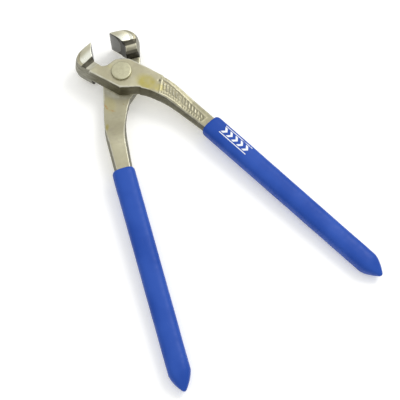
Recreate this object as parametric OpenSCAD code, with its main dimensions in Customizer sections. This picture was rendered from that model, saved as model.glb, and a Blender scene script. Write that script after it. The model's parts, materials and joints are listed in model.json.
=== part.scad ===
// End cutting nippers with two crossed forged levers, a solid rivet and two dipped grips.
// Frame: millimetres, +Z up. The origin is on the pivot axis, on the flat end of the rivet's tail.
// +X runs along the centreline towards the jaws, and the handles spread along -X.
// Each lever is drawn shut and flat with its lap face on z = 0, and is then turned into place.

/* [Pose] */
// Angle between the two levers as stored, 0 is jaws shut
opening_angle = 25.6; // [10:0.1:45]

/* [Joint] */
// Thickness of each lever at the joint
lever_t = 10.2; // [9.4:0.1:10.6]
// Radius of the round boss about the rivet
boss_r = 11.6; // [11:0.1:12.2]
// Radius of the rivet's shank
shank_r = 4.5; // [3.5:0.1:5.5]
// Radial clearance of the shank in the front lever
shank_clearance = 0.05; // [0.02:0.01:0.1]
// Gap between the two lap faces
lap_gap = 0.1; // [0.05:0.01:0.2]
// Radius of the rivet's head
head_r = 6.9; // [6:0.05:8]
// Height of the rivet's head
head_h = 1.8; // [1.2:0.1:2.4]
// Radius of the rivet's hammered tail
tail_r = 6.4; // [5.8:0.1:8]

/* [Jaws] */
// Width of the cutting edges
jaw_w = 22.4; // [21.6:0.1:23.2]
// Distance from the pivot to the cutting edges
jaw_reach = 31; // [30:0.1:32.5]
// Gap left between the cutting edges when the jaws are shut
edge_gap = 0.3; // [0.1:0.05:0.6]
// How far the back of a jaw falls away from its middle to its ends
jaw_crown = 3.3; // [1.5:0.1:3.6]

/* [Handles] */
// Distance from the pivot to the end of a grip, along the handle
grip_end = 219; // [200:1:235]
// Distance from the pivot to the mouth of a grip, along the handle
grip_start = 66.8; // [64:0.2:76]
// Thickness of the forged handle where it enters the grip
bar_t = 9; // [8:0.1:9.4]
// How far the outer side of the forging leans in at the joint, from its parting line to its flat face
draft = 2; // [1.2:0.1:2.4]

/* [Grips] */
// Width of a grip at its mouth
grip_w = 15.7; // [15:0.1:17]
// Width of a grip before its pointed end
grip_end_w = 14.4; // [13.6:0.1:15.4]
// Thickness of a grip
grip_t = 12.2; // [11.4:0.1:13.4]

/* [Hidden] */
$fn = 64;

steel = "#a9a688";
grip_blue = "#3a5cba";

far = 60;
half_open = opening_angle / 2;
jaw_half = jaw_w / 2;
tail_h = jaw_half + 0.2 - lever_t;
lap_z = lever_t + tail_h;
lap_relief = lap_gap / 2;

// ---- small functions ----

function unit(v) = v / norm(v);
function mix(a, b, t) = a + (b - a) * t;
function clamp01(t) = min(1, max(0, t));
function ease(a, b, x) = let (t = clamp01((x - a) / (b - a))) t * t * (3 - 2 * t);
function smooth_max(a, b, s) = (a + b + sqrt((a - b) * (a - b) + s * s)) / 2;
function flatten(lists) = [for (list = lists) each list];

// Arc of radius p[2] that rounds the corner p between its neighbours a and c.
function corner(a, p, c, steps) =
    let (
        b = [p[0], p[1]],
        u = unit([a[0], a[1]] - b),
        v = unit([c[0], c[1]] - b),
        half = acos(u * v) / 2,
        reach = p[2] / tan(half),
        centre = b + unit(u + v) * p[2] / sin(half),
        from_centre = b + u * reach - centre,
        start = atan2(from_centre[1], from_centre[0]),
        side = sign(u[0] * v[1] - u[1] * v[0]),
        sweep = side * (2 * half - 180)
    )
    p[2] == 0 ? [b] : [
        for (i = [0 : steps])
            let (angle = start + sweep * i / steps)
            centre + p[2] * [cos(angle), sin(angle)]
    ];

// Closed outline from corners [x, y, radius].
function rounded(corners, steps = 4) =
    let (n = len(corners))
    flatten([
        for (i = [0 : n - 1])
            corner(corners[(i + n - 1) % n], corners[i], corners[(i + 1) % n], steps)
    ]);

// The same outline, with each point moved inwards by its own distance in d. The corners run anticlockwise.
function inset(outline, d) =
    let (n = len(outline))
    [
        for (i = [0 : n - 1])
            let (
                before = unit(outline[i] - outline[(i + n - 1) % n]),
                after = unit(outline[(i + 1) % n] - outline[i]),
                inward = unit([-before[1] - after[1], before[0] + after[0]])
            )
            outline[i] + d[i] * inward
    ];

// Solid through a stack of rings that all have the same number of points. Seen from the last
// ring's end, each ring runs anticlockwise.
module skin(rings) {
    n = len(rings[0]);
    last = len(rings) - 1;
    low_sides = [
        for (k = [0 : last - 1], i = [0 : n - 1])
            [k * n + i, (k + 1) * n + i, (k + 1) * n + (i + 1) % n]
    ];
    high_sides = [
        for (k = [0 : last - 1], i = [0 : n - 1])
            [k * n + i, (k + 1) * n + (i + 1) % n, k * n + (i + 1) % n]
    ];
    caps = [[for (i = [0 : n - 1]) i], [for (i = [n - 1 : -1 : 0]) last * n + i]];
    polyhedron(points = flatten(rings), faces = concat(caps, low_sides, high_sides), convexity = 6);
}

function at_z(outline, z) = [for (p = outline) [p[0], p[1], z]];

// ---- plan curves of a lever, shut, jaw on +Y and handle on -Y ----

// Straight back of the head, and the outer edge that leaves the boss
function back_y(x) = 12.95 + 0.27 * x;
function leaving_y(x) = -13.9 + 0.289 * x;
// Outer edge of the handle
function outer_y(x) = smooth_max(leaving_y(x), -24.7 + 0.04 * (x + 66.6), 1.8);
// Inner edge: the step behind the head, the bow, and the straight run into the grip
function step_y(x) = 8.9 + 1.29 * (x + 10.4);
function bow_y(x) = smooth_max(-3.2 + 0.4 * (x + 22.2), -12.6 + 0.11 * (x + 66.5), 1.6);
function inner_y(x) = smooth_max(step_y(x), bow_y(x), 3);

// ---- head ----

plate_end = -23;
plate_corners = [
    [16.5, back_y(16.5), 0],
    [-9.2, back_y(-9.2), 2.6],
    [-18.4, -1.2, 5],
    [plate_end, inner_y(plate_end), 0],
    [plate_end, outer_y(plate_end), 0],
    [5.6, leaving_y(5.6), 9],
    [boss_r, -3, 6],
    [boss_r - 0.3, 3.3, 3],
    [13.2, 6.3, 3],
    [17.5, 8.05, 0]
];
low_inset = 0.2;
// The forging's parting line lies just above the lap face.
parting_z = 0.1 * lever_t;
throat_draft = 0.5 * draft;

// The sides about the throat and behind the step lean less than the outer side and the back.
function high_inset(p) =
    let (
        outer_side = ease(-7, -11, p[1]),
        back_side = ease(1.5, 0.5, back_y(p[0]) - p[1])
    )
    mix(throat_draft, draft, max(outer_side, back_side));

// Flat half-thickness plate about the rivet, drafted towards its outer face.
module head_plate() {
    outline = rounded(plate_corners);
    skin([
        at_z(inset(outline, [for (p = outline) low_inset]), lap_relief),
        at_z(outline, parting_z),
        at_z(inset(outline, [for (p = outline) high_inset(p)]), lever_t)
    ]);
}

// ---- jaw ----

edge_y = edge_gap / 2;
riser_x = 13;
end_bevel = 1;
edge_round = 1.1;

// Section of the jaw at height z: the cutting edge, the curved back, the foot and the throat.
function jaw_section(z) =
    let (
        share = abs(z) / jaw_half,
        fall = jaw_crown * share * share,
        end_round = edge_round * ease(0.86, 1, share),
        back_in = fall + end_bevel * ease(0.84, 1, share)
    )
    rounded([
        [jaw_reach - 0.5 * end_round, edge_y + end_round, 0],
        [jaw_reach + 2 - 0.5 * back_in, 4.6 + 0.2 * back_in, 4],
        [jaw_reach + 2.4 - 0.9 * back_in, 13.2 - 0.5 * back_in, 8],
        [26.5, back_y(26.5) - back_in, 6],
        [riser_x, back_y(riser_x) - 0.9 * back_in, 0.8],
        [riser_x, 6.6, 0.8],
        [18.6, 8.2, 4],
        [24.4, 5.6, 0.6]
    ]);

jaw_levels = [-1, -0.95, -0.86, -0.5, 0, 0.5, 0.86, 0.95, 1];

// Full-width claw that reaches past both levers.
module jaw_claw() {
    skin([for (level = jaw_levels) at_z(jaw_section(level * jaw_half), level * jaw_half)]);
}

// Step behind the ground end of the jaw: a wedge of air over a sloping ledge.
ledge_start = riser_x + 2.2;
ledge_end = 18.4;
ledge_drop = 1.9;
wall_lean = 2.2;
heel_rise = 4.6;
past = 1;
// The air's floor is tilted by this much, so that it crosses the plate's flat face cleanly.
floor_tilt = 0.04;

module ledge_air() {
    rotate([90, 0, 0])
        linear_extrude(2 * far, center = true)
            polygon([
                [riser_x - past / 2, lever_t + floor_tilt],
                [ledge_start, lever_t - floor_tilt],
                [ledge_end, jaw_half - ledge_drop],
                [ledge_end + wall_lean, jaw_half + past],
                [riser_x - past / 2, jaw_half + past]
            ]);
}

// The same step on the jaw's far end, where the ledge runs out at the riser.
module far_ledge_air() {
    rotate([90, 0, 0])
        linear_extrude(2 * far, center = true)
            polygon([
                [riser_x - past / 2, heel_rise - jaw_half],
                [ledge_end, ledge_drop - jaw_half],
                [ledge_end + wall_lean, -jaw_half - past],
                [riser_x - past / 2, -jaw_half - past]
            ]);
}

// ---- handle ----

bar_start = plate_end + 5;
tang_end = 12 - grip_end;
tang_end_y = -24;
tang_half_end = 4.4;
tang_t_end = 7.6;

// 1 at the joint, 0 where the handle has come down to the lap plane
function near_joint(x) = ease(-50, plate_end, x);
// The root of the handle is sunk this far into the plate's sides and faces
root_sink = 0.03;
function sink(x) = root_sink * ease(plate_end - 4, plate_end - 1, x);

// Middle and half width of the handle in plan. Inside the grip it is a tapered tang.
function tang_share(x) = clamp01((x + grip_start) / (tang_end + grip_start));
function bar_mid_y(x) =
    x > -grip_start ? (outer_y(x) + inner_y(x)) / 2 :
    mix((outer_y(-grip_start) + inner_y(-grip_start)) / 2, tang_end_y, tang_share(x));
function bar_half_w(x) =
    x > -grip_start ? (inner_y(x) - outer_y(x)) / 2 :
    mix((inner_y(-grip_start) - outer_y(-grip_start)) / 2, tang_half_end, tang_share(x));
function bar_half_t(x) = mix(bar_t, tang_t_end, tang_share(x)) / 2;

// Eight-sided forged section with the parting line near mid height.
parting_band = 0.35;
bar_draft = 0.75 * draft;
function bar_ring(x) =
    let (
        y = bar_mid_y(x),
        w = bar_half_w(x) - sink(x),
        joint = near_joint(x),
        low = mix(-bar_half_t(x), lap_relief, joint) + sink(x),
        high = mix(bar_half_t(x), lever_t, joint) - sink(x),
        seam = mix(0, parting_z, joint),
        low_w = w - mix(bar_draft, low_inset, joint),
        high_inner = w - mix(bar_draft, throat_draft, joint),
        high_outer = w - mix(bar_draft, draft, joint)
    )
    [
        [x, y + w, seam - parting_band],
        [x, y + w, seam + parting_band],
        [x, y + high_inner, high],
        [x, y - high_outer, high],
        [x, y - w, seam + parting_band],
        [x, y - w, seam - parting_band],
        [x, y - low_w, low],
        [x, y + low_w, low]
    ];

bar_stations = concat(
    [for (i = [0 : 5]) mix(tang_end, -grip_start, i / 6)],
    [for (i = [0 : 16]) mix(-grip_start, bar_start, i / 16)]
);

module handle_bar() {
    skin([for (x = bar_stations) bar_ring(x)]);
}

// ---- one forged lever, lap face on z = 0 ----

// The resize changes no size. It makes the plate, jaw and handle one body before the bore is drilled.
module blank() {
    resize([0, 0, 0])
        difference() {
            union() {
                head_plate();
                jaw_claw();
                handle_bar();
            }
            ledge_air();
            far_ledge_air();
        }
}

module forging(bore_r) {
    difference() {
        blank();
        translate([0, 0, -far / 2])
            cylinder(h = far, r = bore_r);
    }
}

// Turns a part drawn in a lever's own frame into the front or the rear place.
module place_front() {
    translate([0, 0, lap_z])
        rotate([0, 0, half_open])
            children();
}

module place_rear() {
    translate([0, 0, lap_z])
        rotate([0, 0, -half_open])
            rotate([180, 0, 0])
                children();
}

module front_lever() {
    color(steel)
        place_front()
            forging(shank_r + shank_clearance);
}

module rear_lever() {
    color(steel)
        place_rear()
            forging(shank_r);
}

// ---- rivet ----

rim_r = 0.6;
tail_rim = 0.35;
head_z = lap_z + lever_t + shank_clearance;
head_top = head_z + head_h;
function rim_point(a) = [head_r - rim_r + rim_r * cos(a), head_top - rim_r + rim_r * sin(a)];

// Turned head, plain shank, and a tail hammered flat against the rear lever.
module rivet() {
    color(steel)
        rotate_extrude()
            polygon(concat(
                [[0, 0], [tail_r - tail_rim, 0], [tail_r, tail_rim], [tail_r, tail_h], [shank_r, tail_h]],
                [[shank_r, head_z], [head_r, head_z]],
                [for (a = [0 : 15 : 90]) rim_point(a)],
                [[0, head_top]]
            ));
}

// ---- grips ----

grip_nose = 13;
grip_mouth = 3;
nib_w = 1.8;
section_steps = 24;

// Rounded oblong section of half width w and half thickness t, as one superellipse.
function oblong(w, t) = [
    for (i = [0 : section_steps - 1])
        let (a = 360 * i / section_steps, c = cos(a), s = sin(a), power = 0.72)
        [w * sign(c) * pow(abs(c), power), t * sign(s) * pow(abs(s), power)]
];

grip_axis_start = [-grip_start, bar_mid_y(-grip_start) - 0.3];
grip_axis_end = [-grip_end, tang_end_y - 0.7];
grip_length = norm(grip_axis_end - grip_axis_start);

// How much of the full section is left at distance s from the mouth.
function grip_fullness(s) =
    s < grip_mouth ? mix(0.86, 1, sqrt(1 - pow(1 - s / grip_mouth, 2))) :
    s > nose_start ?
        let (t = min(1, (s - nose_start) / grip_nose)) mix(nib_w / grip_end_w, 1, 1 - t * t) :
    1;

nose_start = grip_length - grip_nose;
grip_stations = concat(
    [for (i = [0 : 7]) nose_start + grip_nose * (8 - i) / 8],
    [for (i = [0 : 9]) mix(nose_start, grip_mouth, i / 10)],
    [for (i = [0 : 4]) grip_mouth * pow(1 - i / 4, 2)]
);

function grip_ring(s) =
    let (
        middle = mix(grip_axis_start, grip_axis_end, s / grip_length),
        full = grip_fullness(s),
        w = mix(grip_w, grip_end_w, s / grip_length) / 2 * full,
        t = grip_t / 2 * full
    )
    [for (p = oblong(w, t)) [middle[0], middle[1] + p[0], p[1]]];

// Dipped sleeve, hollow for the tang.
module sleeve() {
    difference() {
        skin([for (s = grip_stations) grip_ring(s)]);
        handle_bar();
    }
}

module front_grip() {
    color(grip_blue)
        place_front()
            sleeve();
}

module rear_grip() {
    color(grip_blue)
        place_rear()
            sleeve();
}

front_lever();
rear_lever();
rivet();
front_grip();
rear_grip();
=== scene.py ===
import json
import math

import bmesh
import bpy
import numpy as np
from mathutils import Matrix, Vector, noise


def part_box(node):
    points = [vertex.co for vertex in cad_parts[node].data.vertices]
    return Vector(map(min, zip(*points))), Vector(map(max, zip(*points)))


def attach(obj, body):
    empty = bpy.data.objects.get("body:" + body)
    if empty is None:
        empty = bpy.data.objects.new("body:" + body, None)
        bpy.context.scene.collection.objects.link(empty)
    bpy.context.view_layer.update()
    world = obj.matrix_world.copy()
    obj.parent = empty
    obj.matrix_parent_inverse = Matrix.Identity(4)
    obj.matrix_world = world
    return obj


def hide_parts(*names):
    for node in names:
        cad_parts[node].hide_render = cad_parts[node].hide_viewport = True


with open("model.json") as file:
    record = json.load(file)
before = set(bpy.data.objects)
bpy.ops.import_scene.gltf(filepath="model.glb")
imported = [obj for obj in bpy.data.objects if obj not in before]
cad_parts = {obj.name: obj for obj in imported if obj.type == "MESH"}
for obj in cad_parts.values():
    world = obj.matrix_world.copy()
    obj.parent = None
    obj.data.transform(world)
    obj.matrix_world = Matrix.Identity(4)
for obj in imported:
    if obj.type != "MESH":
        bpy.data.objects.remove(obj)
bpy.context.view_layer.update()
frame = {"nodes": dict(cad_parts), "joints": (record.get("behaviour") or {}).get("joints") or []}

mm = 0.001

# ---- Camera -------------------------------------------------------------------------------
# A long-lens product camera above the handles, looking down at the tool as it lies open.
# It aims at a point on the centreline, between the rivet and the ends of the grips.

joint = frame["joints"][0]
pivot = Vector(joint["pos_m"])
camera_aim = pivot + Vector((-104.7, 0.3, 0)) * mm
camera_azimuth = math.radians(149.29)
camera_elevation = math.radians(67.62)
camera_distance = 674.4 * mm


def from_angles(azimuth, elevation):
    """Unit vector that points up and out at these two angles."""
    flat = math.cos(elevation)
    return Vector((flat * math.cos(azimuth), flat * math.sin(azimuth), math.sin(elevation)))


def look_at(thing, aim):
    """Turns a camera or a light so that it faces the aim."""
    thing.rotation_euler = (thing.location - aim).to_track_quat("Z", "Y").to_euler()


camera = bpy.data.objects.new("camera", bpy.data.cameras.new("camera"))
bpy.context.scene.collection.objects.link(camera)
camera.location = camera_aim + camera_distance * from_angles(camera_azimuth, camera_elevation)
look_at(camera, camera_aim)
camera.data.lens = 92.87
camera.data.sensor_width = 36
camera.data.clip_start = 0.01
bpy.context.scene.camera = camera

# ---- Bench and light ----------------------------------------------------------------------
# A faintly glowing white light table that the tool lies on: it touches the rivet's tail and both
# grips, so it leans a little. One diffused lamp and a white tent light it from above.

bench_half = 3.0
tail_low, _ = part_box("rivet")
grip_low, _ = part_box("front_grip")
tail_back_x = -6.0 * mm
grip_rest_x = -196 * mm
bench_lean = math.atan2(grip_low.z, tail_back_x - grip_rest_x)


def light_table():
    """Even white sheet with a faint glow of its own."""
    material = bpy.data.materials.new("light_table")
    material.use_nodes = True
    shader = material.node_tree.nodes["Principled BSDF"]
    shader.inputs["Base Color"].default_value = (0.89, 0.885, 0.87, 1)
    shader.inputs["Roughness"].default_value = 0.7
    shader.inputs["Emission Color"].default_value = (1, 0.99, 0.93, 1)
    shader.inputs["Emission Strength"].default_value = 0.27
    return material


bench_mesh = bpy.data.meshes.new("bench_top")
corners = [(-1, -1), (1, -1), (1, 1), (-1, 1)]
bench_mesh.from_pydata([(x * bench_half, y * bench_half, 0) for x, y in corners], [], [(0, 1, 2, 3)])
bench = bpy.data.objects.new("bench_top", bench_mesh)
bench_mesh.materials.append(light_table())
bench.matrix_world = (
    Matrix.Translation((tail_back_x, 0, tail_low.z)) @ Matrix.Rotation(bench_lean, 4, "Y")
)
bpy.context.scene.collection.objects.link(bench)

# The key lamp is a square softbox, high up on the front grip's side.
lamp_azimuth = math.radians(-78)
lamp_elevation = math.radians(50)
lamp_distance = 1.3
lamp_side = 0.6
softbox = bpy.data.lights.new("key_softbox", "AREA")
softbox.shape = "RECTANGLE"
softbox.size = lamp_side
softbox.size_y = lamp_side
softbox.energy = 6.5
lamp = bpy.data.objects.new("key_softbox", softbox)
bpy.context.scene.collection.objects.link(lamp)
lamp.location = camera_aim + lamp_distance * from_angles(lamp_azimuth, lamp_elevation)
look_at(lamp, camera_aim)

# The room is a white tent: bright overhead, dimmer towards its walls.
tent_top, tent_wall = 0.95, 0.22
room = bpy.data.worlds.new("white_tent")
bpy.context.scene.world = room
room.use_nodes = True
tent = room.node_tree
upward = tent.nodes.new("ShaderNodeSeparateXYZ")
tent.links.new(tent.nodes.new("ShaderNodeTexCoord").outputs["Generated"], upward.inputs[0])
glow = tent.nodes.new("ShaderNodeMapRange")
glow.interpolation_type = "SMOOTHSTEP"
glow.inputs["From Min"].default_value = -0.05
glow.inputs["From Max"].default_value = 0.85
glow.inputs["To Min"].default_value = tent_wall
glow.inputs["To Max"].default_value = tent_top
tent.links.new(upward.outputs["Z"], glow.inputs["Value"])
seen = tent.nodes.new("ShaderNodeMix")
tent.links.new(tent.nodes.new("ShaderNodeLightPath").outputs["Is Camera Ray"], seen.inputs["Factor"])
tent.links.new(glow.outputs["Result"], seen.inputs["A"])
seen.inputs["B"].default_value = tent_top
backdrop = tent.nodes["Background"]
backdrop.inputs["Color"].default_value = (0.98, 0.99, 1, 1)
tent.links.new(seen.outputs["Result"], backdrop.inputs["Strength"])
bpy.context.scene.view_settings.view_transform = "Standard"

# ---- Forged levers ------------------------------------------------------------------------
# Two crossed levers, drop-forged from the same die in medium carbon steel and trimmed along
# the parting line. The rear one is the same forging turned over. The jaws' ends and cutting
# bevels are ground, and the rest keeps a khaki oiled skin with darker scale on the sides. Painted
# shade darkens the upper half of each side and the jaw's recesses, and the ledges behind the ground ends
# carry a painted highlight.

closing = math.radians(-joint["range_deg"][0])
front_place = Matrix.Translation(pivot) @ Matrix.Rotation(closing / 2, 4, "Z")
rear_place = (
    Matrix.Translation(pivot)
    @ Matrix.Rotation(-closing / 2, 4, "Z")
    @ Matrix.Rotation(math.pi, 4, "X")
)

skin_step = 0.32
tang_cut = -84.0
face_normal = 0.8


def cad_corners(node, place):
    """A CAD node's vertices in the lever's own frame, in millimetres."""
    flat = np.empty(len(frame["nodes"][node].data.vertices) * 3)
    frame["nodes"][node].data.vertices.foreach_get("co", flat)
    back = np.array(place.inverted())
    return (flat.reshape(-1, 3) @ back[:3, :3].T + back[:3, 3]) / mm


def new_object(name, mesh, place):
    """Object with this mesh, whose points are moved from the lever's frame to the row frame."""
    mesh.transform(place)
    thing = bpy.data.objects.new(name, mesh)
    bpy.context.scene.collection.objects.link(thing)
    return thing


def even_skin(node, place):
    """Closed, evenly meshed copy of a lever without the hidden end of its tang."""
    mesh = frame["nodes"][node].data.copy()
    mesh.transform(place.inverted())
    work = bmesh.new()
    work.from_mesh(mesh)
    bmesh.ops.remove_doubles(work, verts=work.verts, dist=1e-6)
    cut = bmesh.ops.bisect_plane(
        work,
        geom=work.verts[:] + work.edges[:] + work.faces[:],
        plane_co=(tang_cut * mm, 0, 0),
        plane_no=(-1, 0, 0),
        clear_outer=True,
    )
    rim = [part for part in cut["geom_cut"] if isinstance(part, bmesh.types.BMEdge)]
    bmesh.ops.contextual_create(work, geom=rim)
    work.to_mesh(mesh)
    work.free()
    blank = bpy.data.objects.new("blank", mesh)
    bpy.context.scene.collection.objects.link(blank)
    remesh = blank.modifiers.new("skin", "REMESH")
    remesh.mode = "VOXEL"
    remesh.voxel_size = skin_step * mm
    bpy.context.view_layer.update()
    skin = bpy.data.meshes.new_from_object(blank.evaluated_get(bpy.context.evaluated_depsgraph_get()))
    bpy.data.objects.remove(blank)
    return skin


class Skin:
    """Points of a lever's mesh in millimetres, with what the smith and grinder do to them."""

    def __init__(self, mesh):
        self.mesh = mesh
        count = len(mesh.vertices)
        flat = np.empty(count * 3)
        mesh.vertices.foreach_get("co", flat)
        self.points = flat.reshape(-1, 3) / mm
        pairs = np.empty(len(mesh.edges) * 2, int)
        mesh.edges.foreach_get("vertices", pairs)
        self.pairs = pairs.reshape(-1, 2)
        self.degree = np.bincount(pairs, minlength=count)[:, None]

    def average(self, values):
        """Mean of each point's neighbours."""
        total = np.zeros_like(values)
        a, b = self.pairs.T
        for column in range(values.shape[1]):
            total[:, column] = np.bincount(a, values[b, column], len(values))
            total[:, column] += np.bincount(b, values[a, column], len(values))
        return total / self.degree

    def relax(self, points, rounds, strength=0.5):
        """Rounds the edges off. strength may differ from point to point."""
        for _ in range(rounds):
            points = points + strength * (self.average(points) - points)
        return points

    def normals(self):
        self.write()
        flat = np.empty(len(self.mesh.vertices) * 3)
        self.mesh.vertices.foreach_get("normal", flat)
        return flat.reshape(-1, 3)

    def write(self):
        self.mesh.vertices.foreach_set("co", (self.points * mm).ravel())
        self.mesh.update()

    def mark(self, name, values):
        """Keeps a number from 0 to 1 on each point, for the material to read."""
        attribute = self.mesh.attributes.new(name, "FLOAT", "POINT")
        attribute.data.foreach_set("value", np.clip(values, 0, 1).astype(np.float32))


def ease(low, high, x):
    """0 below low, 1 above high, smooth between. low may be the larger one."""
    t = np.clip((x - low) / (high - low), 0, 1)
    return t * t * (3 - 2 * t)


def lumps(points, size, seed):
    """Smooth noise from -1 to 1 with lumps of this size in millimetres."""
    shift = Vector((seed * 17.3, seed * 5.1, seed * 9.7))
    return np.array([noise.noise(Vector(p) / size + shift) for p in points])


# Sizes of the forging in its own frame, in millimetres. x runs from the pivot to the jaw's tip.
lever_points = cad_corners("front_lever", front_place)
jaw_top = lever_points[:, 2].max()
ledge_x = 18.4
wall_x = 19.8
wall_shift = 1.3
tip_reach = 0.5
crown_limit = 1.2
fairing = 0.6
fairing_rounds = 220
wave_height = 0.07
wave_length = 6.0
ripple_height = 0.035
ripple_length = 2.2
grain_height = 0.06
grain_length = 0.9
pit = (-22.7, -14.0)
pit_radius = 0.7
pit_depth = 0.45
flash_height = 0.12
flash_half_width = 0.38
panel_start = -24.6
panel_end = -64.5
panel_slant = 0.78
panel_taper = 0.035
panel_inset = 1.7
border_height = 0.2
border_half_width = 0.5
field_depth = 0.08
tall_bar_height = 0.24
tall_bar_pitch = 2.3
tall_bar_group = 13.8
short_bar_height = 0.17
short_bar_pitch = 1.7
short_bar_gap = 15.5


def face_edges(points, normals):
    """Functions of x for both edges of the handle's flat outer face."""
    on_face = (normals[:, 2] > 0.95) & (points[:, 0] < -16) & (points[:, 2] > 3)
    x, y = points[on_face, 0], points[on_face, 1]
    stations = np.arange(-74, -18, 1.0)
    low = np.array([y[np.abs(x - s) < 0.6].min() for s in stations])
    high = np.array([y[np.abs(x - s) < 0.6].max() for s in stations])
    return lambda at: np.interp(at, stations, low), lambda at: np.interp(at, stations, high)


def raised_panel(points, normals):
    """Height of the die-sunk panel on the handle's face: a border, and slanted bars in it."""
    low, high = face_edges(points, normals)
    x, y = points[:, 0], points[:, 1]
    from_outer = y - low(x)
    from_inner = high(x) - y
    share = from_outer / (high(x) - low(x))
    from_start = (panel_start - panel_slant * (y - pit[1]) - x) / math.hypot(1, panel_slant)
    margin = panel_taper * (panel_start - x)
    inside = np.minimum.reduce(
        [from_outer - margin, from_inner + 1.1, from_start + panel_inset, x - panel_end]
    )
    facing = ease(face_normal, 0.97, normals[:, 2]) * (points[:, 2] > 3)
    border = np.exp(-(((inside - panel_inset) / border_half_width) ** 2))
    field = ease(panel_inset + 0.3, panel_inset + 0.8, inside)
    tall = ease(0.27, 0.32, share) * ease(0.66, 0.61, share)
    short = ease(0.72, 0.76, share) * ease(0.90, 0.86, share)
    tall_bars = ease(0.1, 0.45, np.cos(2 * math.pi * from_start / tall_bar_pitch))
    tall_bars *= np.mod(from_start, tall_bar_group) > 2.0
    short_bars = ease(0, 0.4, np.cos(2 * math.pi * from_start / short_bar_pitch))
    short_bars *= np.abs(from_start - short_bar_gap) > 1.2
    bars = tall_bar_height * tall * tall_bars + short_bar_height * short * short_bars
    height = border_height * border - field_depth * field + field * bars
    return facing * height, facing * field


def spotted(x, y, spots):
    """How deep each point lies in any spot (x, y, length, breadth, turn in degrees, strength)."""
    depth = np.zeros(len(x))
    for spot_x, spot_y, length, breadth, turn, strength in spots:
        c, s = math.cos(math.radians(turn)), math.sin(math.radians(turn))
        along = ((x - spot_x) * c + (y - spot_y) * s) / length
        across = ((y - spot_y) * c - (x - spot_x) * s) / breadth
        depth = np.maximum(depth, strength * ease(1.15, 0.5, np.hypot(along, across)))
    return depth


def round_edges(skin):
    """Rounds the forged edges, and fairs the handle's root and the jaw's foot into the plate."""
    x, y, z = skin.points.T.copy()
    skin.in_jaw = ease(ledge_x - 1, ledge_x + 1, x)
    forged = (1 - 0.85 * skin.in_jaw)[:, None]
    for _ in range(4):
        skin.points = skin.relax(skin.points, 1, 0.5)
        skin.points = skin.relax(skin.points, 1, -0.5 * (1 - forged))
    # Sides are faired sideways, and faces up and down, so that both keep their own direction.
    flatness = np.abs(skin.normals()[:, 2])
    root = fairing * ease(-12, -17, x) * ease(-38, -30, x)
    foot = fairing * ease(9.5, 11, x) * ease(17, 14.5, x) * ease(10, 8.5, y) * ease(1.5, 3, z)
    faired = np.maximum(root, foot)
    sideways = faired * ease(0.85, 0.65, flatness)
    upwards = faired * ease(0.93, 0.96, flatness)
    strength = np.stack([sideways, sideways, upwards], axis=1)
    skin.points = skin.relax(skin.points, fairing_rounds, strength)


def grind_jaws(skin):
    """Sets the wall behind the ground ends forward, and brings the cutting edges to a point."""
    x, y, z = skin.points.T.copy()
    height = np.abs(z)
    behind_end = np.exp(-(((x - wall_x) / 1.7) ** 2))
    skin.points[:, 0] += wall_shift * behind_end * ease(8.4, 9.4, height)
    nip = ease(26, 29.5, x) * ease(5, 1.5, y) * (0.2 + 0.8 * ease(0.82, 1, height / jaw_top))
    skin.points[:, 0] += tip_reach * nip
    skin.points[:, 1] -= nip * np.clip(y - 0.2, 0, 0.9)


def crown_ends(skin, normals):
    """Lets the ground ends fall away to the back and the tip of the jaw."""
    x, y, z = skin.points.T
    height = np.abs(z)
    flat = ease(0.75, 0.95, np.abs(normals[:, 2]))
    skin.end_facet = skin.in_jaw * flat * ease(jaw_top - 1.2, jaw_top - 0.5, height)
    fall = 0.02 * np.maximum(0, y - 5) ** 2 + 0.03 * np.maximum(0, 24.5 - x) ** 2
    crown = skin.in_jaw * ease(jaw_top - 2.4, jaw_top, height) * np.minimum(fall, crown_limit)
    skin.points[:, 2] -= np.sign(z) * crown


def strike_relief(skin, normals, seed):
    """Relief of the die and the scale: waves, the raised panel with its grain, and one pit."""
    skin.lap = ease(-0.7, -0.9, normals[:, 2]) * ease(0.6, 0.2, np.abs(skin.points[:, 2]))
    wave = wave_height * lumps(skin.points, wave_length, seed)
    wave += ripple_height * lumps(skin.points, ripple_length, seed + 1)
    rough_skin = (1 - skin.end_facet) * (1 - skin.lap)
    skin.points += (wave * rough_skin)[:, None] * normals
    panel, skin.field = raised_panel(skin.points, normals)
    skin.points[:, 2] += panel
    skin.grain = lumps(skin.points, grain_length, seed + 2)
    skin.points[:, 2] += grain_height * skin.field * skin.grain
    from_pit = np.hypot(skin.points[:, 0] - pit[0], skin.points[:, 1] - pit[1])
    skin.in_pit = np.exp(-((from_pit / pit_radius) ** 2)) * (normals[:, 2] > 0.5)
    skin.points[:, 2] -= pit_depth * skin.in_pit


def trim_flash(skin, normals):
    """Leaves the trimmed flash standing proud along the parting line."""
    x, y, z = skin.struck.T
    skin.seam = ease(-50, -23, x)
    on_side = ease(0.6, 0.35, np.abs(normals[:, 2])) * (x < 17) * (np.hypot(x, y) > 6)
    at_seam = np.exp(-(((z - skin.seam) / flash_half_width) ** 2))
    skin.flash = at_seam * on_side * (1 - ease(12, 13.5, x))
    skin.points += (flash_height * skin.flash * (1 + 0.5 * skin.grain))[:, None] * normals


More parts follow.
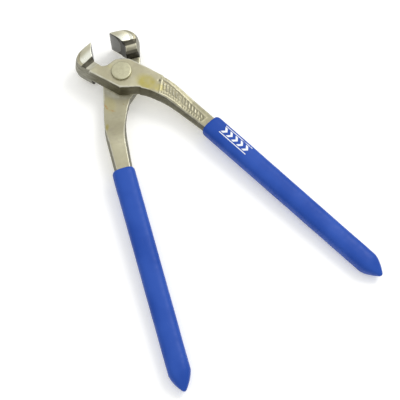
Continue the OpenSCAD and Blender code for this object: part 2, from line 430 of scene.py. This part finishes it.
def mark_finish(skin, lever_is_front, oil_film, stains, rust):
    """Marks wear, dirt, grinding and stains on each point, and where shade and highlights are painted, for
    the material to read.
    """
    x, y, z = skin.struck.T
    height = np.abs(z)
    normals = skin.normals()
    flatness = np.abs(normals[:, 2])
    smooth = skin.relax(skin.points, 14, 0.5)
    bulge = np.einsum("ij,ij->i", skin.points - smooth, normals)
    side = ease(0.75, 0.45, flatness)
    up = 1 if lever_is_front else -1

    # Painted shade in the jaw: risers that face the handle, the hollow, the walls and the heel are painted
    # near black
    riser = ease(11, 13, x) * ease(-0.3, -0.5, normals[:, 0])
    hollow = ease(12, 14, x) * ease(9.2, 8.6, y) * ease(-0.25, -0.5, normals[:, 1]) * side
    wall = ease(ledge_x, ledge_x + 0.5, x) * ease(22.5, 22.0, x) * ease(8.6, 9.0, height) * (y > 3)
    heel = ease(11.5, 12.5, x) * ease(15.8, 14.9, x) * (z < -5) * ease(0.5, 0.7, flatness)
    throat = np.maximum.reduce([riser, hollow, wall, heel])

    # Bright places: rubbed edges, the flash and the rubbed lap face are wear; the ledges behind the ends
    # carry a painted highlight
    on_panel = ease(0.7, 0.9, normals[:, 2]) * (x < panel_start + 2)
    edge_wear = ease(0.03, 0.13, bulge) * (1 - 0.6 * on_panel)
    ledge_highlight = ease(15, 15.8, x) * ease(0.75, 0.85, flatness) * ease(20.6, 20.1, x) * (height > 7.4)
    ledge_highlight *= np.where(z > 0, 0.85, 0.4)
    rubbed = 0.8 * skin.lap * ease(17.5, 14, np.hypot(x, y))
    wear_and_highlight = np.maximum.reduce([edge_wear, 0.35 * skin.flash, ledge_highlight, rubbed])

    # Painted shade: the upper half of each side as the lever lies, away from the jaw, is painted in the
    # darkest scale, fading along the handle.
    above_seam = ease(-0.35, 0.25, up * (z - skin.seam))
    thinning = 1 - 0.3 * ease(-20, -40, x)
    bevel_start = 23.2 + 4.4 * (height / jaw_top) ** 2
    bevel = side * ease(bevel_start, bevel_start + 0.7, x) * ease(5.9, 5.2, y)
    dirt = 0.8 * ease(-0.03, -0.16, bulge) * (1 - skin.end_facet)
    upper = normals[:, 2] * up > 0.3
    skin.mark("upper_side_shade", side * above_seam * ease(19, 8, x) * thinning)
    skin.mark("wear_and_highlight", wear_and_highlight * (1 - skin.in_pit) * (1 - throat))
    skin.mark("grime", dirt + skin.in_pit + 0.14 * skin.field)
    skin.mark("film", oil_film(x))
    skin.mark("ground", skin.end_facet * (1 - throat) * (1 - 0.85 * ease(24.5, 28.5, x)))
    skin.mark("bevel", bevel)
    skin.mark("scale", side * (1 - bevel))
    skin.mark("throat", throat * (1 - bevel))
    skin.mark("stain", upper * spotted(x, y, stains))
    skin.mark("rust", upper * spotted(x, y, rust))


def forge_lever(node, place, seed, lever_is_front, oil_film, stains, rust):
    """Mesh of one finished lever, with its wear, ground facets and scale marked on it, and its painted
    shade and highlights.
    """
    skin = Skin(even_skin(node, place))
    round_edges(skin)
    grind_jaws(skin)
    normals = skin.normals()
    crown_ends(skin, normals)
    strike_relief(skin, normals, seed)
    skin.struck = skin.points.copy()
    skin.points = skin.relax(skin.points, 1, 0.3)
    trim_flash(skin, normals)
    mark_finish(skin, lever_is_front, oil_film, stains, rust)
    skin.write()
    skin.mesh.shade_smooth()
    return skin.mesh


class Nodes:
    """Short way to add shader nodes to one material and to join them."""

    def __init__(self, name):
        self.material = bpy.data.materials.new(name)
        self.material.use_nodes = True
        self.tree = self.material.node_tree
        self.shader = self.tree.nodes["Principled BSDF"]

    def add(self, kind, settings=None, **inputs):
        node = self.tree.nodes.new("ShaderNode" + kind)
        for key, value in (settings or {}).items():
            setattr(node, key, value)
        for key, value in inputs.items():
            self.put(node, key.replace("_", " "), value)
        return node

    def put(self, node, key, value):
        """Sets or joins one input. value is a number, a colour, a node or a socket."""
        socket = node.inputs[key] if not key.isdigit() else node.inputs[int(key)]
        if isinstance(value, bpy.types.Node):
            value = value.outputs[0]
        if isinstance(value, bpy.types.NodeSocket):
            self.tree.links.new(value, socket)
        elif isinstance(value, tuple) and len(value) == 3 and socket.type == "RGBA":
            socket.default_value = (*value, 1)
        else:
            socket.default_value = value

    def place(self, stretch=(1, 1, 1)):
        """Coordinates in the piece's own frame, in millimetres, stretched by these factors."""
        source = self.add("TexCoord").outputs["Object"]
        node = self.add("VectorMath", {"operation": "MULTIPLY"})
        self.put(node, "0", source)
        node.inputs[1].default_value = tuple(s / mm for s in stretch)
        return node.outputs[0]

    def cloud(self, size, detail=3.0, rough=0.5, stretch=(1, 1, 1)):
        """Noise with features of this size in millimetres."""
        node = self.add("TexNoise", Scale=1 / size, Detail=detail, Roughness=rough)
        self.put(node, "Vector", self.place(stretch))
        return node.outputs[0]

    def ramp(self, value, low, high, start=0.0, end=1.0):
        """value mapped from low..high to start..end, with no overshoot."""
        node = self.add("MapRange", {"interpolation_type": "SMOOTHSTEP"})
        for key, number in (("1", low), ("2", high), ("3", start), ("4", end)):
            self.put(node, key, number)
        self.put(node, "0", value)
        return node.outputs[0]

    def times(self, a, b):
        node = self.add("Math", {"operation": "MULTIPLY"})
        self.put(node, "0", a)
        self.put(node, "1", b)
        return node.outputs[0]

    def plus(self, a, b):
        node = self.add("Math", {"operation": "ADD"})
        self.put(node, "0", a)
        self.put(node, "1", b)
        return node.outputs[0]

    def blend(self, share, a, b):
        """Colour a where share is 0, b where it is 1."""
        node = self.add("Mix", {"data_type": "RGBA"})
        self.put(node, "0", share)
        self.put(node, "6", a)
        self.put(node, "7", b)
        return node.outputs[2]

    def slide(self, share, a, b):
        """Number a where share is 0, b where it is 1."""
        node = self.add("Mix", {"data_type": "FLOAT"})
        self.put(node, "0", share)
        self.put(node, "2", a)
        self.put(node, "3", b)
        return node.outputs[0]

    def marked(self, name):
        return self.add("Attribute", {"attribute_name": name}).outputs["Fac"]

    def bump(self, height, depth, under=None):
        """Bump of this depth in millimetres, on top of another bump if given."""
        node = self.add("Bump", Distance=depth * mm, Strength=1.0, Height=height)
        if under is not None:
            self.put(node, "Normal", under)
        return node.outputs[0]


def forged_steel():
    """Oiled forged steel: khaki satin faces, dark scale on the sides, bright ground facets, and painted
    shade and highlights.
    """
    n = Nodes("forged_steel_oiled")
    broad = n.cloud(16, 3)
    patches = n.cloud(5, 4, 0.6)
    specks = n.cloud(0.55, 2)
    khaki = n.blend(n.ramp(broad, 0.35, 0.65), (0.49, 0.455, 0.31), (0.595, 0.565, 0.40))
    khaki = n.blend(n.times(n.ramp(patches, 0.5, 0.72), 0.4), khaki, (0.40, 0.35, 0.27))
    khaki = n.blend(n.marked("film"), khaki, (0.345, 0.32, 0.215))
    stained = n.times(n.marked("stain"), n.ramp(patches, 0.3, 0.6, 0.6, 1))
    khaki = n.blend(stained, khaki, (0.44, 0.385, 0.125))
    brown_spots = n.times(n.ramp(n.cloud(3.2, 3, 0.65), 0.66, 0.74), 0.5)
    khaki = n.blend(brown_spots, khaki, (0.32, 0.25, 0.12))
    rusted = n.times(n.marked("rust"), n.ramp(n.cloud(0.9, 3), 0.35, 0.6, 0.1, 0.85))
    khaki = n.blend(rusted, khaki, (0.42, 0.22, 0.07))
    streaks = n.cloud(1.2, 3, 0.6, (0.35, 0.35, 1.6))
    scale = n.blend(n.ramp(streaks, 0.3, 0.7), (0.15, 0.145, 0.115), (0.275, 0.267, 0.22))
    # Painted shade: the upper half of each side is painted in darker scale.
    shaded_scale = n.blend(n.ramp(streaks, 0.3, 0.7), (0.045, 0.040, 0.020), (0.11, 0.10, 0.056))
    scale = n.blend(n.marked("upper_side_shade"), scale, shaded_scale)
    colour = n.blend(n.times(n.marked("scale"), 0.9), khaki, scale)
    # Painted shade: the jaw's risers, hollow, walls and heel are painted near black.
    colour = n.blend(n.times(n.marked("throat"), 0.85), colour, (0.035, 0.032, 0.027))
    colour = n.blend(n.times(n.marked("grime"), 0.75), colour, (0.07, 0.062, 0.045))
    # Rubbed edges, flash and lap face are wear; the ledges behind the ends get a painted highlight in the
    # same pale colour.
    wear_and_highlight = n.times(n.marked("wear_and_highlight"), n.ramp(patches, 0.35, 0.6, 0.45, 0.95))
    colour = n.blend(wear_and_highlight, colour, (0.72, 0.70, 0.58))
    ground = n.marked("ground")
    bevel = n.marked("bevel")
    polished = n.blend(n.ramp(n.cloud(1.6, 4, 0.7), 0.55, 0.75), (0.88, 0.88, 0.76), (0.64, 0.61, 0.48))
    colour = n.blend(ground, colour, polished)
    colour = n.blend(bevel, colour, (0.21, 0.21, 0.20))
    n.put(n.shader, "Base Color", colour)
    n.put(n.shader, "Metallic", n.slide(n.marked("scale"), 0.92, 0.75))
    satin = n.ramp(specks, 0.2, 0.8, 0.36, 0.52)
    rough = n.slide(ground, satin, 0.27)
    rough = n.slide(bevel, rough, 0.34)
    n.put(n.shader, "Roughness", rough)
    lumpy = n.bump(n.cloud(1.7, 4, 0.6), 0.05)
    pitted = n.bump(n.ramp(specks, 0.25, 0.75), 0.012, lumpy)
    grinding = n.cloud(0.25, 2, 0.5, (0.08, 1, 1))
    lines = n.bump(n.times(grinding, n.plus(ground, bevel)), 0.01, pitted)
    n.put(n.shader, "Normal", lines)
    return n.material


steel_skin = forged_steel()
front_stains = [(-17.5, -6.8, 8.5, 6, 15, 1), (-26, -10, 5, 3, 40, 0.7), (9, 3, 3, 2, 0, 0.3)]
rear_stains = [(-33.3, -20.4, 3.2, 1.3, 20, 0.8), (-17, -14, 7, 5, 0, 0.3), (-49.3, -23.2, 1.3, 1.1, 0, 1)]
rear_rust = [
    (-17.7, -16.7, 2.9, 0.7, 164, 1),
    (-21.5, -13.8, 2.8, 0.55, 121, 0.8),
    (-33.3, -20.4, 1.2, 0.6, 20, 0.3),
    (-49.3, -23.2, 0.9, 0.7, 0, 0.4),
]


def front_film(x):
    """Share of dark oil film along the front lever: thin on the boss, thick on the handle."""
    return 0.25 + 0.75 * ease(-19, -28, x)


def rear_film(x):
    """The same along the rear lever: thick by the joint and the grip, wiped off between them."""
    return 0.6 * ease(-36, -22, x) + 0.45 * ease(-44, -58, x)


for lever, body, place, seed, oil_film, stains, rust in (
    ("front_lever", "front", front_place, 3, front_film, front_stains, []),
    ("rear_lever", "rear", rear_place, 8, rear_film, rear_stains, rear_rust),
):
    skin = forge_lever(lever, place, seed, body == "front", oil_film, stains, rust)
    forging = new_object(lever + "_forging", skin, place)
    forging.data.materials.clear()
    forging.data.materials.append(steel_skin)
    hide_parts(lever)
    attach(forging, body)

# ---- Rivet --------------------------------------------------------------------------------
# One solid steel rivet through both levers, its head turned with a rounded rim and its tail
# hammered flat. It is fixed in the rear lever, and the front lever turns on its shank.

rivet_points = cad_corners("rivet", Matrix.Identity(4))
rivet_radii = np.hypot(rivet_points[:, 0], rivet_points[:, 1])
tail_radius = rivet_radii[rivet_points[:, 2] < 1].max()
head_radius = rivet_radii.max()
shank_radius = rivet_radii[(rivet_radii > 2) & (rivet_radii < tail_radius - 0.6)].max()
tail_top = rivet_points[(rivet_radii > tail_radius - 0.05) & (rivet_points[:, 2] < 6), 2].max()
head_under = rivet_points[(rivet_radii > head_radius - 0.02), 2].min()
head_top = rivet_points[:, 2].max()
rivet_segments = 128


def quarter_round(radius, height, rim, start, end, steps=8):
    """Points of a rounded rim, from angle start to end in degrees, about its own centre."""
    angles = np.radians(np.linspace(start, end, steps + 1))
    return [(radius + rim * math.cos(a), height + rim * math.sin(a)) for a in angles]


def turned(name, profile, segments):
    """Closed mesh turned about +Z from a profile of (radius, height) in millimetres."""
    points = []
    faces = []
    for radius, height in profile:
        for k in range(segments):
            angle = 2 * math.pi * k / segments
            points.append((radius * math.cos(angle) * mm, radius * math.sin(angle) * mm, height * mm))
    for ring in range(len(profile) - 1):
        for k in range(segments):
            a = ring * segments + k
            b = ring * segments + (k + 1) % segments
            faces.append((a, b, b + segments, a + segments))
    faces.append(tuple(reversed(range(segments))))
    faces.append(tuple((len(profile) - 1) * segments + k for k in range(segments)))
    mesh = bpy.data.meshes.new(name)
    mesh.from_pydata(points, [], faces)
    mesh.shade_smooth()
    return mesh


head_rim = 0.62
dome = 0.16
head_profile = quarter_round(head_radius - head_rim, head_top - dome - head_rim, head_rim, 0, 78)
dome_radii = np.linspace(head_radius - head_rim - 0.1, 0.15, 14)
dome_profile = [(r, head_top - dome * (r / head_radius) ** 2) for r in dome_radii]
rivet_profile = (
    [(0.15, 0), (tail_radius - 1.2, 0), (tail_radius - 0.7, 0.02)]
    + quarter_round(tail_radius - 0.4, 0.4, 0.4, -70, 0, 5)
    + [(tail_radius, tail_top - 0.15), (tail_radius - 0.12, tail_top)]
    + [(shank_radius, tail_top), (shank_radius, head_under)]
    + [(head_radius - 0.15, head_under), (head_radius, head_under + 0.15)]
    + head_profile
    + dome_profile
)


def turned_steel():
    """Turned rivet steel: the same khaki oil skin, with fine lathe rings."""
    n = Nodes("rivet_steel_oiled")
    patches = n.cloud(3.5, 4, 0.6)
    colour = n.blend(n.ramp(patches, 0.35, 0.65), (0.49, 0.465, 0.315), (0.56, 0.54, 0.37))
    colour = n.blend(n.times(n.ramp(n.cloud(1.4, 3, 0.6), 0.62, 0.72), 0.5), colour, (0.36, 0.31, 0.18))
    n.put(n.shader, "Base Color", colour)
    n.put(n.shader, "Metallic", 0.92)
    n.put(n.shader, "Roughness", n.ramp(n.cloud(0.6, 2), 0.2, 0.8, 0.36, 0.5))
    split = n.add("SeparateXYZ")
    n.put(split, "0", n.place())
    radius = n.add("Math", {"operation": "SQRT"})
    across, along = split.outputs[0], split.outputs[1]
    n.put(radius, "0", n.plus(n.times(across, across), n.times(along, along)))
    rings = n.add("Math", {"operation": "SINE"})
    n.put(rings, "0", n.times(radius.outputs[0], 22.0))
    turned_lines = n.bump(rings.outputs[0], 0.002)
    n.put(n.shader, "Normal", n.bump(n.cloud(1.3, 4, 0.6), 0.03, turned_lines))
    return n.material


rivet = new_object("solid_rivet", turned("solid_rivet", rivet_profile, rivet_segments), Matrix.Identity(4))
rivet.data.materials.append(turned_steel())
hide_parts("rivet")
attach(rivet, "rear")

# ---- Dipped grips -------------------------------------------------------------------------
# A thick royal blue vinyl coat on each handle. The warm forging is dipped in liquid vinyl and
# drawn out slowly, which rounds the mouth's shoulder and draws the end to a point with a nib.

grip_points = cad_corners("front_grip", front_place)
grip_mouth_x = grip_points[:, 0].max()
grip_end_x = grip_points[:, 0].min()
nose_length = 12.5
nose_power = 1.55
nib_radius = 0.9
shoulder = 2.6
section_power = 0.72
around = 96


def grip_measure(x):
    """Middle, half width and half thickness of the CAD grip near x, away from its ends."""
    near = grip_points[np.abs(grip_points[:, 0] - x) < 9]
    return (near[:, 1].max() + near[:, 1].min()) / 2, np.ptp(near[:, 1]) / 2, np.ptp(near[:, 2]) / 2


by_mouth_x = grip_mouth_x - 12
by_end_x = grip_end_x + 24
mouth_middle, mouth_w, grip_half_t = grip_measure(by_mouth_x)
end_middle, end_w, _ = grip_measure(by_end_x)


def grip_section(x):
    """Middle, half width and half thickness of the vinyl coat at x."""
    along = (x - by_mouth_x) / (by_end_x - by_mouth_x)
    middle = mouth_middle + (end_middle - mouth_middle) * along
    half_w = mouth_w + (end_w - mouth_w) * along - 0.1
    half_t = grip_half_t - 0.05
    from_mouth = grip_mouth_x - x
    from_end = x - grip_end_x
    if from_mouth < shoulder:
        drop = shoulder * (1 - math.sqrt(max(0.0, 1 - (1 - from_mouth / shoulder) ** 2)))
        half_w -= 0.55 * drop
        half_t -= 0.42 * drop
    if from_end < nose_length:
        t = 1 - from_end / nose_length
        full = 1 - t ** nose_power
        nib = nib_radius * math.sqrt(1 - max(0, 1 - from_end / nib_radius) ** 2)
        half_w = half_w * full + nib * (1 - full)
        half_t = half_t * full + nib * (1 - full)
    return middle, max(half_w, 0.3), max(half_t, 0.3)


def oblong(angle, half_w, half_t):
    """Point on the coat's rounded oblong section."""
    c, s = math.cos(angle), math.sin(angle)
    return (
        half_w * math.copysign(abs(c) ** section_power, c),
        half_t * math.copysign(abs(s) ** section_power, s),
    )


def lofted(name, rings):
    """Closed mesh through rings of points in millimetres, capped at both ends."""
    count = len(rings[0])
    faces = []
    for r in range(len(rings) - 1):
        for k in range(count):
            a = r * count + k
            b = r * count + (k + 1) % count
            faces.append((a, a + count, b + count, b))
    faces.append(tuple(range(count)))
    faces.append(tuple((len(rings) - 1) * count + k for k in reversed(range(count))))
    mesh = bpy.data.meshes.new(name)
    mesh.from_pydata([tuple(c * mm for c in p) for ring in rings for p in ring], [], faces)
    mesh.shade_smooth()
    return mesh


bar_ring = lever_points[np.abs(lever_points[:, 0] - grip_mouth_x) < 0.3]
bar_middle = (bar_ring[:, 1].max() + bar_ring[:, 1].min()) / 2
bar_half_w = np.ptp(bar_ring[:, 1]) / 2
bar_half_t = np.ptp(bar_ring[:, 2]) / 2


def dipped_coat(name, seed):
    """One grip: its tunnel about the tang, the mouth's rim, the coat and the drawn nib."""
    angles = [2 * math.pi * k / around for k in range(around)]
    rings = []
    for depth in (16.5, 1.2, 0.4):
        rings.append([(grip_mouth_x - depth, bar_middle + p[0], p[1]) for p in
                      (oblong(a, bar_half_w - 0.3, bar_half_t - 0.3) for a in angles)])
    near_mouth = grip_mouth_x - shoulder * (1 - np.cos(np.linspace(0, math.pi / 2, 10)))
    straight = np.linspace(grip_mouth_x - shoulder - 1.5, grip_end_x + nose_length, 84)
    nose = grip_end_x + nose_length * np.linspace(1, 0, 34)[1:] ** 2
    for x in np.concatenate([near_mouth, straight, nose]):
        middle, half_w, half_t = grip_section(x)
        ring = []
        for a in angles:
            v, w = oblong(a, half_w, half_t)
            spot = Vector((x, middle + v, w))
            swell = 0.10 * noise.noise(spot / 14 + Vector((seed, 0, 0))) + 0.04 * noise.noise(spot / 4)
            swell *= min(1, half_w / 6)
            ring.append((x, middle + v * (1 + swell / 8), w * (1 + swell / 6)))
        rings.append(ring)
    return lofted(name, rings)


def dipped_vinyl():
    """Royal blue dipped vinyl: satin, a faint orange peel, and a few pale scuffs."""
    n = Nodes("royal_blue_vinyl")
    broad = n.cloud(22, 2)
    colour = n.blend(n.ramp(broad, 0.35, 0.65), (0.013, 0.066, 0.37), (0.022, 0.084, 0.42))
    scuffs = n.times(n.ramp(n.cloud(2.2, 4, 0.7, (0.25, 1, 1)), 0.62, 0.78), 0.16)
    colour = n.blend(scuffs, colour, (0.12, 0.19, 0.46))
    n.put(n.shader, "Base Color", colour)
    n.put(n.shader, "Roughness", n.ramp(n.cloud(3.0, 3), 0.3, 0.7, 0.40, 0.52))
    n.shader.inputs["Specular IOR Level"].default_value = 0.22
    peel = n.bump(n.cloud(1.1, 2), 0.02)
    n.put(n.shader, "Normal", n.bump(n.cloud(7.0, 2), 0.12, peel))
    return n.material


vinyl = dipped_vinyl()
for node, body, place, seed in (
    ("front_grip", "front", front_place, 2),
    ("rear_grip", "rear", rear_place, 5),
):
    coat = new_object(node + "_coat", dipped_coat(node + "_coat", seed), place)
    coat.data.materials.append(vinyl)
    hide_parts(node)
    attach(coat, body)

# ---- Print on the grip --------------------------------------------------------------------
# A plain white pad print near the mouth of the front grip: a row of arrowheads between two
# rules. The ink is a thin film that lies on the vinyl.

print_start = grip_mouth_x - 10.0
print_length = 24.0
print_half_w = 3.6
print_offset = -1.9
ink_top = 0.05
ink_root = -0.12
rule_width = 0.6
arrow_count = 5
arrow_step = 4.7
arrow_bar = 2.0
arrow_lead = 2.0
arrow_inset = 1.3


def on_grip(along, across, lift):
    """Point on the upper side of the front grip, lifted off the vinyl."""
    x = print_start - along
    middle, half_w, half_t = grip_section(x)
    v = across + print_offset
    angle = math.acos(min(1, abs(v) / half_w) ** (1 / section_power))
    return (x, middle + v, half_t * math.sin(angle) ** section_power + lift)


def ink_patch(points, faces, quad, steps_u, steps_v):
    """Adds one closed four-sided film of ink. quad is its corners (along, across)."""
    start = len(points)
    a, b, c, d = (np.array(corner, float) for corner in quad)
    for lift in (ink_root, ink_top):
        for i in range(steps_u + 1):
            for j in range(steps_v + 1):
                u, v = i / steps_u, j / steps_v
                spot = (a * (1 - u) + b * u) * (1 - v) + (d * (1 - u) + c * u) * v
                points.append(on_grip(spot[0], spot[1], lift))
    row = steps_v + 1
    layer = (steps_u + 1) * row

    def at(level, i, j):
        return start + level * layer + i * row + j

    for i in range(steps_u):
        for j in range(steps_v):
            faces.append((at(1, i, j), at(1, i, j + 1), at(1, i + 1, j + 1), at(1, i + 1, j)))
            faces.append((at(0, i, j), at(0, i + 1, j), at(0, i + 1, j + 1), at(0, i, j + 1)))
    for i in range(steps_u):
        faces.append((at(0, i, 0), at(1, i, 0), at(1, i + 1, 0), at(0, i + 1, 0)))
        faces.append((at(0, i, steps_v), at(0, i + 1, steps_v), at(1, i + 1, steps_v), at(1, i, steps_v)))
    for j in range(steps_v):
        faces.append((at(0, 0, j), at(0, 0, j + 1), at(1, 0, j + 1), at(1, 0, j)))
        faces.append((at(0, steps_u, j), at(1, steps_u, j), at(1, steps_u, j + 1), at(0, steps_u, j + 1)))


print_points = []
print_faces = []
for edge in (-print_half_w, print_half_w - rule_width):
    far_edge = edge + rule_width
    rule = [(0, edge), (print_length, edge), (print_length, far_edge), (0, far_edge)]
    ink_patch(print_points, print_faces, rule, 24, 2)
for k in range(arrow_count):
    left = 0.4 + k * arrow_step
    tip = left + arrow_lead
    for half in (-1, 1):
        outer = half * (print_half_w - arrow_inset)
        arm = [(left, outer), (left + arrow_bar, outer), (tip + arrow_bar, 0), (tip, 0)]
        ink_patch(print_points, print_faces, arm, 6, 6)
print_mesh = bpy.data.meshes.new("grip_print")
print_mesh.from_pydata([tuple(c * mm for c in p) for p in print_points], [], print_faces)
work = bmesh.new()
work.from_mesh(print_mesh)
bmesh.ops.recalc_face_normals(work, faces=work.faces)
work.to_mesh(print_mesh)
work.free()


def white_ink():
    """White printing ink, slightly rubbed so that the blue shows through in places."""
    n = Nodes("white_pad_ink")
    rubbed = n.ramp(n.cloud(0.7, 4, 0.7), 0.60, 0.75)
    n.put(n.shader, "Base Color", n.blend(n.times(rubbed, 0.45), (0.86, 0.88, 0.92), (0.28, 0.36, 0.68)))
    n.put(n.shader, "Roughness", n.ramp(n.cloud(0.5, 2), 0.3, 0.7, 0.42, 0.6))
    return n.material


grip_print = new_object("grip_print", print_mesh, front_place)
grip_print.data.materials.append(white_ink())
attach(grip_print, "front")
